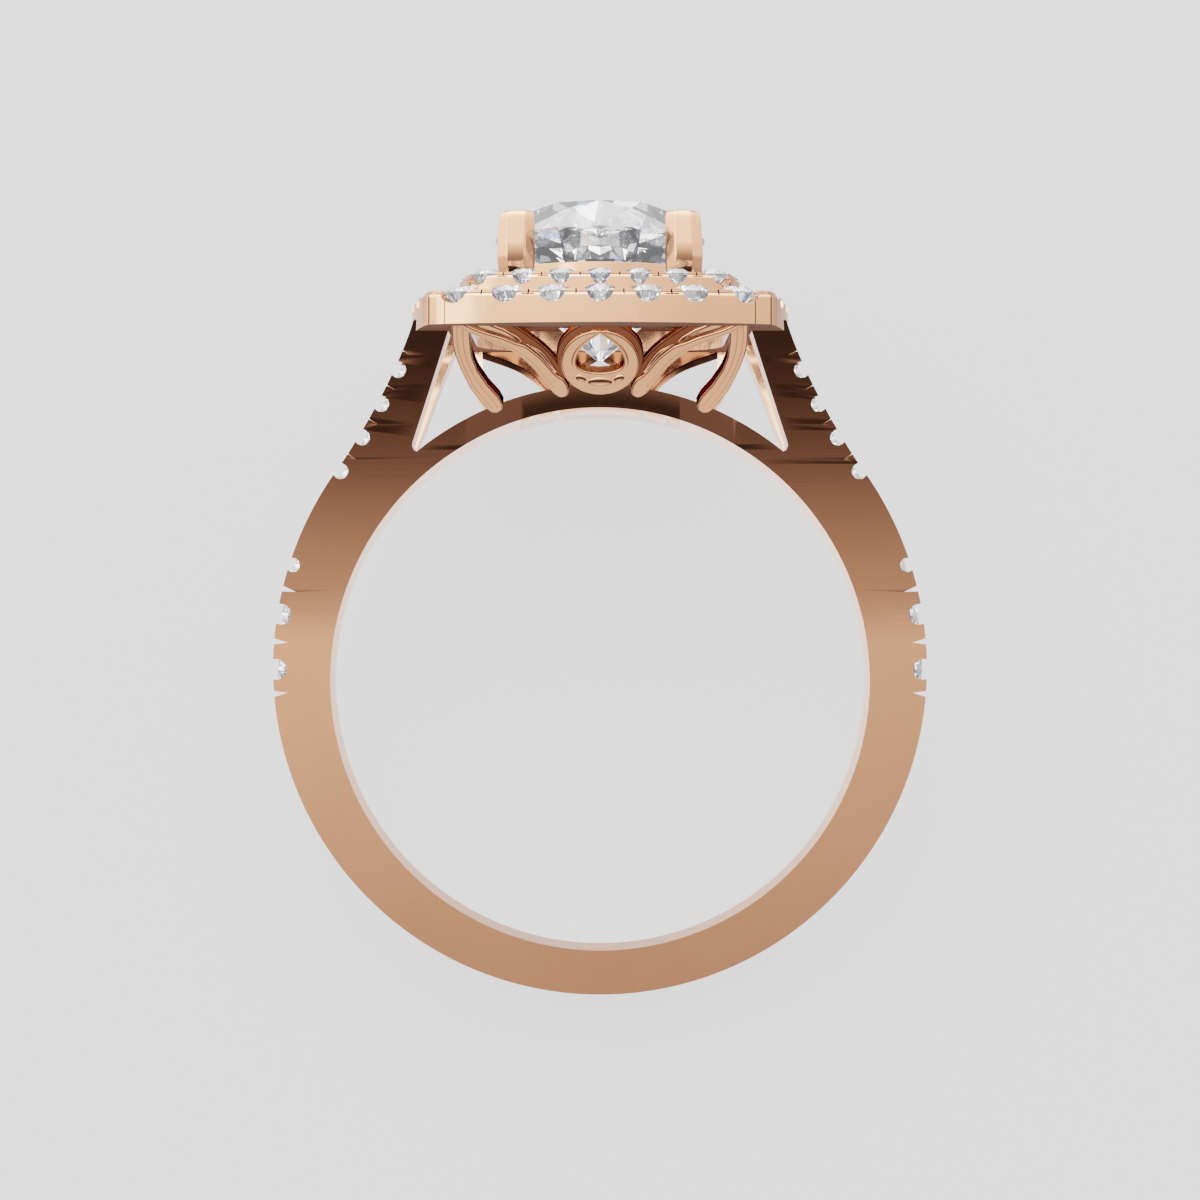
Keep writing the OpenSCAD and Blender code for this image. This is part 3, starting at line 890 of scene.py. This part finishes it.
def make_centre_stone():
    r = STONE_D / 2
    chord = r * cos(pi / 16)
    o = cut_stone("centre_brilliant", r, 0.06,
                  [(16, 0.5, 65, chord, -0.06), (8, 0, 41, 0, -3.79), (16, 0.5, 42.3, 0, -3.85)])
    o.matrix_world = Matrix.Translation((0, GIRDLE_Y, 0)) @ Z_TO_Y
    only(o)
    bpy.ops.object.transform_apply(location=True, rotation=True, scale=True)
    return o


def make_small_stones(name, d, places):
    r = d / 2
    one = cut_stone(name, r, 0.02 * d, [(8, 0, 41, r, -0.02 * d), (16, 0.5, 42.2, r * cos(pi / 16), -0.02 * d)])
    return copies(one, name, places)


# ---- materials

def gold_material(name, low, high, edge, metal=1.0):
    m = bpy.data.materials.new(name)
    m.use_nodes = True
    n, l = m.node_tree.nodes, m.node_tree.links
    b = n["Principled BSDF"]
    b.inputs["Metallic"].default_value = metal
    b.inputs["Specular Tint"].default_value = edge
    b.inputs["Specular IOR Level"].default_value = 0.5 * metal
    where = n.new("ShaderNodeTexCoord")
    # Slow change of the alloy's colour
    cloud = n.new("ShaderNodeTexNoise")
    cloud.inputs["Scale"].default_value = 350
    cloud.inputs["Detail"].default_value = 3
    l.new(where.outputs["Object"], cloud.inputs["Vector"])
    tint = n.new("ShaderNodeValToRGB")
    tint.color_ramp.elements[0].position = 0.3
    tint.color_ramp.elements[0].color = low
    tint.color_ramp.elements[1].position = 0.7
    tint.color_ramp.elements[1].color = high
    l.new(cloud.outputs["Fac"], tint.inputs["Fac"])
    l.new(tint.outputs["Color"], b.inputs["Base Color"])
    # Polishing marks
    marks = n.new("ShaderNodeTexNoise")
    marks.inputs["Scale"].default_value = 5200
    marks.inputs["Detail"].default_value = 2
    l.new(where.outputs["Object"], marks.inputs["Vector"])
    rough = n.new("ShaderNodeMapRange")
    rough.inputs["To Min"].default_value = 0.09
    rough.inputs["To Max"].default_value = 0.16
    l.new(marks.outputs["Fac"], rough.inputs["Value"])
    l.new(rough.outputs["Result"], b.inputs["Roughness"])
    bump = n.new("ShaderNodeBump")
    bump.inputs["Strength"].default_value = 0.02
    bump.inputs["Distance"].default_value = 0.00001
    l.new(marks.outputs["Fac"], bump.inputs["Height"])
    l.new(bump.outputs["Normal"], b.inputs["Normal"])
    return m


def diamond_material():
    m = bpy.data.materials.new("diamond")
    m.use_nodes = True
    n, l = m.node_tree.nodes, m.node_tree.links
    b = n["Principled BSDF"]
    b.inputs["Transmission Weight"].default_value = 1.0
    b.inputs["IOR"].default_value = 2.417
    b.inputs["Roughness"].default_value = 0.0
    # A faint painted glow keeps the darkest facets grey
    b.inputs["Emission Color"].default_value = (0.95, 0.97, 1.0, 1)
    b.inputs["Emission Strength"].default_value = 0.025
    where = n.new("ShaderNodeTexCoord")
    cloud = n.new("ShaderNodeTexNoise")
    cloud.inputs["Scale"].default_value = 900
    l.new(where.outputs["Object"], cloud.inputs["Vector"])
    tint = n.new("ShaderNodeValToRGB")
    tint.color_ramp.elements[0].color = (0.985, 0.99, 1.0, 1)
    tint.color_ramp.elements[1].color = (1.0, 1.0, 1.0, 1)
    l.new(cloud.outputs["Fac"], tint.inputs["Fac"])
    l.new(tint.outputs["Color"], b.inputs["Base Color"])
    return m


def paper_material():
    m = bpy.data.materials.new("pale backdrop")
    m.use_nodes = True
    n, l = m.node_tree.nodes, m.node_tree.links
    b = n["Principled BSDF"]
    where = n.new("ShaderNodeTexCoord")
    cloud = n.new("ShaderNodeTexNoise")
    cloud.inputs["Scale"].default_value = 4
    l.new(where.outputs["Object"], cloud.inputs["Vector"])
    tint = n.new("ShaderNodeValToRGB")
    tint.color_ramp.elements[0].color = (0.098, 0.098, 0.098, 1)
    tint.color_ramp.elements[1].color = (0.102, 0.102, 0.102, 1)
    l.new(cloud.outputs["Fac"], tint.inputs["Fac"])
    l.new(tint.outputs["Color"], b.inputs["Base Color"])
    b.inputs["Roughness"].default_value = 0.9
    b.inputs["Specular IOR Level"].default_value = 0.0
    # Lit from behind, so that hardly any shadow shows
    b.inputs["Emission Color"].default_value = (1, 1, 1, 1)
    b.inputs["Emission Strength"].default_value = 1.06
    return m


# ---- the ring

# The alloy's colour from low to high, and its tint at a grazing angle
rose_gold = gold_material("rose gold, polished", (0.915, 0.412, 0.243, 1), (0.945, 0.430, 0.257, 1),
                          (0.95, 0.86, 0.8, 1))
# Painted shade: a dark copy of the alloy standing in for the shade in the recesses of the prongs and the scroll work
painted_shade_gold = gold_material("rose gold, painted shade in recesses", (0.2, 0.068, 0.034, 1), (0.25, 0.09, 0.046, 1),
                          (0.12, 0.08, 0.07, 1))
# Painted shade: a dark, dull copy of the alloy for the halos' undersides
painted_underside_shade = gold_material("rose gold, painted shade underneath", (0.24, 0.15, 0.12, 1), (0.3, 0.19, 0.15, 1),
                           (1, 1, 1, 1), 0.0)
# Painted shade: an almost black copy of the alloy for grooves, creases and fine cut lines
painted_groove_shade = gold_material("rose gold, painted shade in grooves", (0.03, 0.01, 0.006, 1), (0.045, 0.016, 0.01, 1),
                          (0.05, 0.03, 0.03, 1))
diamond = diamond_material()
lower_at, upper_at, shoulder_at, band_at = stone_places()

finish_piece(cut_shank_seats(make_shank(), shoulder_at, band_at), rose_gold, "gold", ["cast_mount"])
hole_low = rounded_hole("halo hole", HALO_HOLE, 2.0, HALO_Y - 1, LOWER_TOP + 1)
finish_piece(make_halo("lower_halo", LOWER, 2.4, HALO_Y, LOWER_TOP, hole_low, LOWER_ROW, lower_at,
                       LOWER_STONE, (0.395, 0.005), 0.11, 0.11), rose_gold, "gold")
hole_up = turned("upper hole", [(0, LOWER_TOP - 1), (SEAT_HOLE_R, LOWER_TOP - 1), (SEAT_HOLE_R, UPPER_TOP + 1),
                                (0, UPPER_TOP + 1)], 96)
finish_piece(make_halo("upper_halo", UPPER, 1.2, LOWER_TOP - 0.35, UPPER_TOP, hole_up, UPPER_ROW, upper_at,
                       UPPER_STONE, (0.29, 0.09), 0.09, 0.1), rose_gold, "gold")
finish_piece(make_rail(), rose_gold, "gold")
finish_piece(make_prongs(), rose_gold, "gold")
finish_piece(make_gallery(), rose_gold, "gold")
finish_piece(make_centre_stone(), diamond, "centre_gem", ["centre_stone"])
finish_piece(make_small_stones("lower_halo_brilliants", LOWER_STONE, lower_at), diamond, "small_gem",
             ["lower_halo_stones"])
finish_piece(make_small_stones("upper_halo_brilliants", UPPER_STONE, upper_at), diamond, "small_gem",
             ["upper_halo_stones"])
finish_piece(make_small_stones("shoulder_brilliants", SHOULDER_STONE, shoulder_at), diamond, "small_gem",
             ["shoulder_stones"])
finish_piece(make_small_stones("band_brilliants", BAND_STONE, band_at), diamond, "small_gem", ["band_stones"])


# ---- floor, light and camera

def make_floor(z):
    bpy.ops.object.select_all(action="DESELECT")
    bpy.ops.mesh.primitive_plane_add(size=2.4, location=(0, 0, z))
    floor = bpy.context.object
    floor.name = "floor"
    bpy.ops.object.transform_apply(location=True, rotation=True, scale=True)
    floor.data.materials.append(paper_material())
    floor.visible_transmission = False
    floor.visible_glossy = False


def lay(v):
    """A direction or place in the upright drawing, in millimetres, as it is at rest, in metres."""
    return Matrix.Rotation(TILT, 3, "X") @ (Vector(v) * 0.001)


def area_light(name, at, size, power):
    """A square lamp that faces the middle of the ring."""
    light = bpy.data.lights.new(name, "AREA")
    light.size = size
    light.energy = power
    o = bpy.data.objects.new(name, light)
    bpy.context.scene.collection.objects.link(o)
    o.location = lay(at)
    o.rotation_euler = (lay((0, 6, 0)) - o.location).to_track_quat("-Z", "Y").to_euler()


# Brightness of the studio by height over the finger axis, in degrees, with the head up
SKY = ((-90, 1.3), (-76, 1.0), (-66, 0.62), (-58, 0.25), (-52, 0.08), (-47, 0.04), (-44.5, 0.037), (-42.5, 0.043),
       (-40.4, 0.051), (-38.3, 0.061), (-36.1, 0.082), (-33.9, 0.1), (-31.7, 0.116), (-29.4, 0.133), (-27.1, 0.168),
       (-24.7, 0.216), (-22.3, 0.267), (-19.9, 0.309), (-17.4, 0.349), (-15, 0.392), (-12.5, 0.432), (-10, 0.469),
       (-7.4, 0.5), (-5.5, 0.6), (-4.5, 0.69), (-3.3, 0.79), (-2.1, 0.83), (-0.9, 0.8), (0.5, 0.9), (3, 1.25), (6, 1.6),
       (12, 2.0), (30, 2.6), (60, 4.0), (90, 4.5))

# What shines through the stones: where each tone starts on the ramp, and the tone
PATCHES = ((0.0, (0.06, 0.06, 0.07)), (0.09, (0.75, 0.76, 0.8)), (0.2, (0.2, 0.2, 0.21)), (0.32, (1.1, 1.1, 1.12)),
           (0.42, (0.12, 0.12, 0.13)), (0.5, (0.5, 0.5, 0.51)), (0.62, (2.4, 2.4, 2.4)), (0.69, (0.42, 0.6, 1.1)),
           (0.74, (0.65, 0.65, 0.65)), (0.83, (0.85, 0.6, 0.42)), (0.86, (0.3, 0.3, 0.31)), (0.94, (4.5, 4.5, 4.5)))


def make_sky():
    """Soft studio light, pale overhead and darker low in front of the ring."""
    world = bpy.data.worlds.new("studio")
    bpy.context.scene.world = world
    world.use_nodes = True
    n, l = world.node_tree.nodes, world.node_tree.links
    back = n["Background"]
    where = n.new("ShaderNodeTexCoord")
    up = n.new("ShaderNodeVectorMath")
    up.operation = "DOT_PRODUCT"
    up.inputs[1].default_value = Matrix.Rotation(TILT, 3, "X") @ Vector((0, 1, 0))
    l.new(where.outputs["Generated"], up.inputs[0])
    curve = n.new("ShaderNodeFloatCurve")
    points = curve.mapping.curves[0].points
    curve.mapping.clip_max_x = 1
    curve.mapping.clip_max_y = 1
    span = n.new("ShaderNodeMapRange")
    span.inputs["From Min"].default_value = -1
    span.inputs["From Max"].default_value = 1
    l.new(up.outputs["Value"], span.inputs["Value"])
    l.new(span.outputs["Result"], curve.inputs["Value"])
    for i, (e, v) in enumerate(SKY):
        x, y = (sin(radians(e)) + 1) / 2, v / 5
        if i == 0:
            points[0].location = (x, y)
        elif i == len(SKY) - 1:
            points[-1].location = (x, y)
        else:
            points.new(x, y)
    for q in points:
        q.handle_type = "VECTOR"
    curve.mapping.update()
    # Behind the ring it is pale, and a little darker upwards
    ahead = n.new("ShaderNodeVectorMath")
    ahead.operation = "DOT_PRODUCT"
    ahead.inputs[1].default_value = Matrix.Rotation(TILT, 3, "X") @ Vector((0, 0, 1))
    l.new(where.outputs["Generated"], ahead.inputs[0])
    behind = n.new("ShaderNodeMapRange")
    behind.inputs["From Min"].default_value = -0.5
    behind.inputs["From Max"].default_value = -0.8
    l.new(ahead.outputs["Value"], behind.inputs["Value"])
    pale = n.new("ShaderNodeMapRange")
    pale.inputs["From Min"].default_value = -0.08
    pale.inputs["From Max"].default_value = 0.13
    pale.inputs["To Min"].default_value = 1.45 / 5
    pale.inputs["To Max"].default_value = 0.85 / 5
    l.new(up.outputs["Value"], pale.inputs["Value"])
    joined = n.new("ShaderNodeMix")
    l.new(behind.outputs["Result"], joined.inputs[0])
    l.new(curve.outputs["Value"], joined.inputs[2])
    l.new(pale.outputs["Result"], joined.inputs[3])
    # Brighter on the left of the ring than on its right
    across = n.new("ShaderNodeSeparateXYZ")
    l.new(where.outputs["Generated"], across.inputs["Vector"])
    side = n.new("ShaderNodeMapRange")
    side.interpolation_type = "SMOOTHSTEP"
    side.inputs["From Min"].default_value = -0.3
    side.inputs["From Max"].default_value = 0.5
    side.inputs["To Min"].default_value = 1.15
    side.inputs["To Max"].default_value = 0.74
    l.new(across.outputs["X"], side.inputs["Value"])
    both = n.new("ShaderNodeMath")
    both.operation = "MULTIPLY"
    l.new(joined.outputs[0], both.inputs[0])
    low = n.new("ShaderNodeMapRange")
    low.inputs["From Min"].default_value = -0.45
    low.inputs["From Max"].default_value = -0.05
    l.new(up.outputs["Value"], low.inputs["Value"])
    even = n.new("ShaderNodeMix")
    even.inputs[2].default_value = 1.0
    l.new(low.outputs["Result"], even.inputs[0])
    l.new(side.outputs["Result"], even.inputs[3])
    l.new(even.outputs[0], both.inputs[1])
    scale = n.new("ShaderNodeMath")
    scale.operation = "MULTIPLY"
    scale.inputs[1].default_value = 5.0
    l.new(both.outputs["Value"], scale.inputs[0])
    path = n.new("ShaderNodeLightPath")
    steady = n.new("ShaderNodeMix")
    l.new(path.outputs["Is Transmission Ray"], steady.inputs[0])
    l.new(scale.outputs["Value"], steady.inputs[2])
    steady.inputs[3].default_value = 1.15
    l.new(steady.outputs[0], back.inputs["Strength"])
    # What shines through the stones is broken up in pale, dark and faintly coloured patches
    patches = n.new("ShaderNodeTexVoronoi")
    patches.inputs["Scale"].default_value = 9
    l.new(where.outputs["Generated"], patches.inputs["Vector"])
    pick_one = n.new("ShaderNodeSeparateColor")
    l.new(patches.outputs["Color"], pick_one.inputs["Color"])
    tones = n.new("ShaderNodeValToRGB")
    tones.color_ramp.interpolation = "CONSTANT"
    while len(tones.color_ramp.elements) < len(PATCHES):
        tones.color_ramp.elements.new(0.5)
    for i, (at, tone) in enumerate(PATCHES):
        tones.color_ramp.elements[i].position = at
        tones.color_ramp.elements[i].color = tone + (1,)
    l.new(pick_one.outputs["Red"], tones.inputs["Fac"])
    through = n.new("ShaderNodeMix")
    through.data_type = "RGBA"
    l.new(path.outputs["Is Transmission Ray"], through.inputs[0])
    through.inputs[6].default_value = (1, 1, 1, 1)
    l.new(tones.outputs["Color"], through.inputs[7])
    l.new(through.outputs[2], back.inputs["Color"])


def make_camera():
    cam = bpy.data.cameras.new("camera")
    cam.sensor_width = 36
    cam.lens = 84.9
    cam.clip_start = 0.005
    cam.clip_end = 10
    o = bpy.data.objects.new("camera", cam)
    bpy.context.scene.collection.objects.link(o)
    o.location = lay((0, 2.47, 87.5))
    o.rotation_euler = (TILT, 0, 0)
    bpy.context.scene.camera = o


make_floor(solid_box[0][2])
make_sky()
make_camera()
area_light("key", (-70, 28, 96), 0.035, 0.006)
area_light("top light", (-30, 110, 40), 0.06, 0.02)
view = bpy.context.scene.view_settings
view.view_transform = "Filmic"
view.look = "Medium High Contrast"
